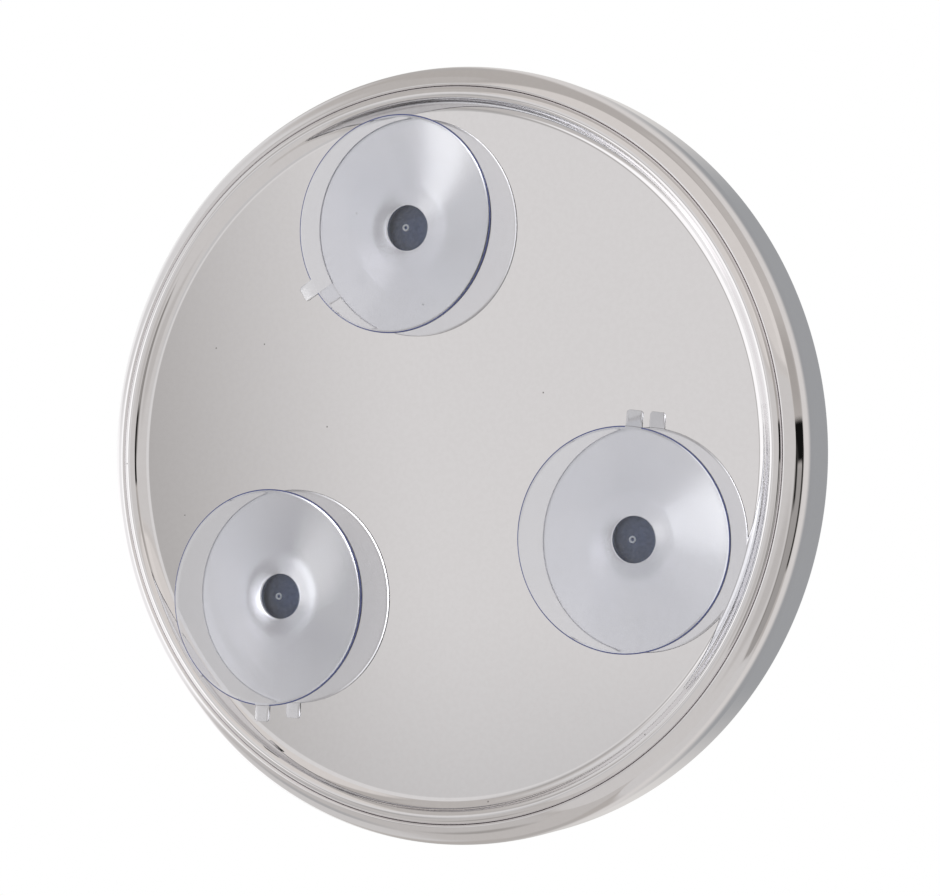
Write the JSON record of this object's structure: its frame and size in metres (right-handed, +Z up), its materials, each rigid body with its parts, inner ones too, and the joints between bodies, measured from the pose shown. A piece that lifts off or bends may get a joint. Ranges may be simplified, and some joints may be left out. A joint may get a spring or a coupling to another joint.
{
  "type": "suction cup mirror",
  "caption": "Round dished mirror in a polished round-shouldered frame with a rimmed back plate, held on a smooth wall by clear suction cups that turn in the plate.",
  "frame": {"origin": "on the mirror's axis, in the plane of the three cups' lips, which is the wall's surface", "axes": "+Y into the wall, so the mirror looks along -Y; +Z up, through the top cup; +X to the left as seen from behind"},
  "size_m": [0.213, 0.0263, 0.213],
  "materials": {
    "frame_chrome": "polished",
    "cover_chrome": "mirror polished",
    "bezel_chrome": "polished",
    "gasket_rubber": "matt",
    "clear_glass": "polished",
    "silver_mirror": "silvered, dark paint behind",
    "grey_foam": "closed-cell foam",
    "black_plastic": "moulded",
    "clear_pvc": "clear, glossy, faintly blue",
    "washer_steel": "zinc plated"
  },
  "bodies": {
    "mirror": {"frame_ring": "frame_chrome", "back_cover": "cover_chrome", "front_bezel": "bezel_chrome", "glass_gasket": "gasket_rubber", "mirror_glass": "clear_glass", "mirror_silvering": "silver_mirror", "backing_pad": "grey_foam", "spacer_ring": "black_plastic"},
    "cup_top": {"suction_cup_top": "clear_pvc", "head_washer_top": "washer_steel"},
    "cup_left": {"suction_cup_left": "clear_pvc", "head_washer_left": "washer_steel"},
    "cup_right": {"suction_cup_right": "clear_pvc", "head_washer_right": "washer_steel"}
  },
  "joints": [
    {"name": "cup_top_spin", "type": "hinge", "parent": "mirror", "child": "cup_top", "pos_m": [0, -0.0083, 0.06284], "axis": [0, 1, 0], "continuous": true},
    {"name": "cup_left_spin", "type": "hinge", "parent": "mirror", "child": "cup_left", "pos_m": [0.05442, -0.0083, -0.03142], "axis": [0, 1, 0], "continuous": true},
    {"name": "cup_right_spin", "type": "hinge", "parent": "mirror", "child": "cup_right", "pos_m": [-0.05442, -0.0083, -0.03142], "axis": [0, 1, 0], "continuous": true}
  ]
}
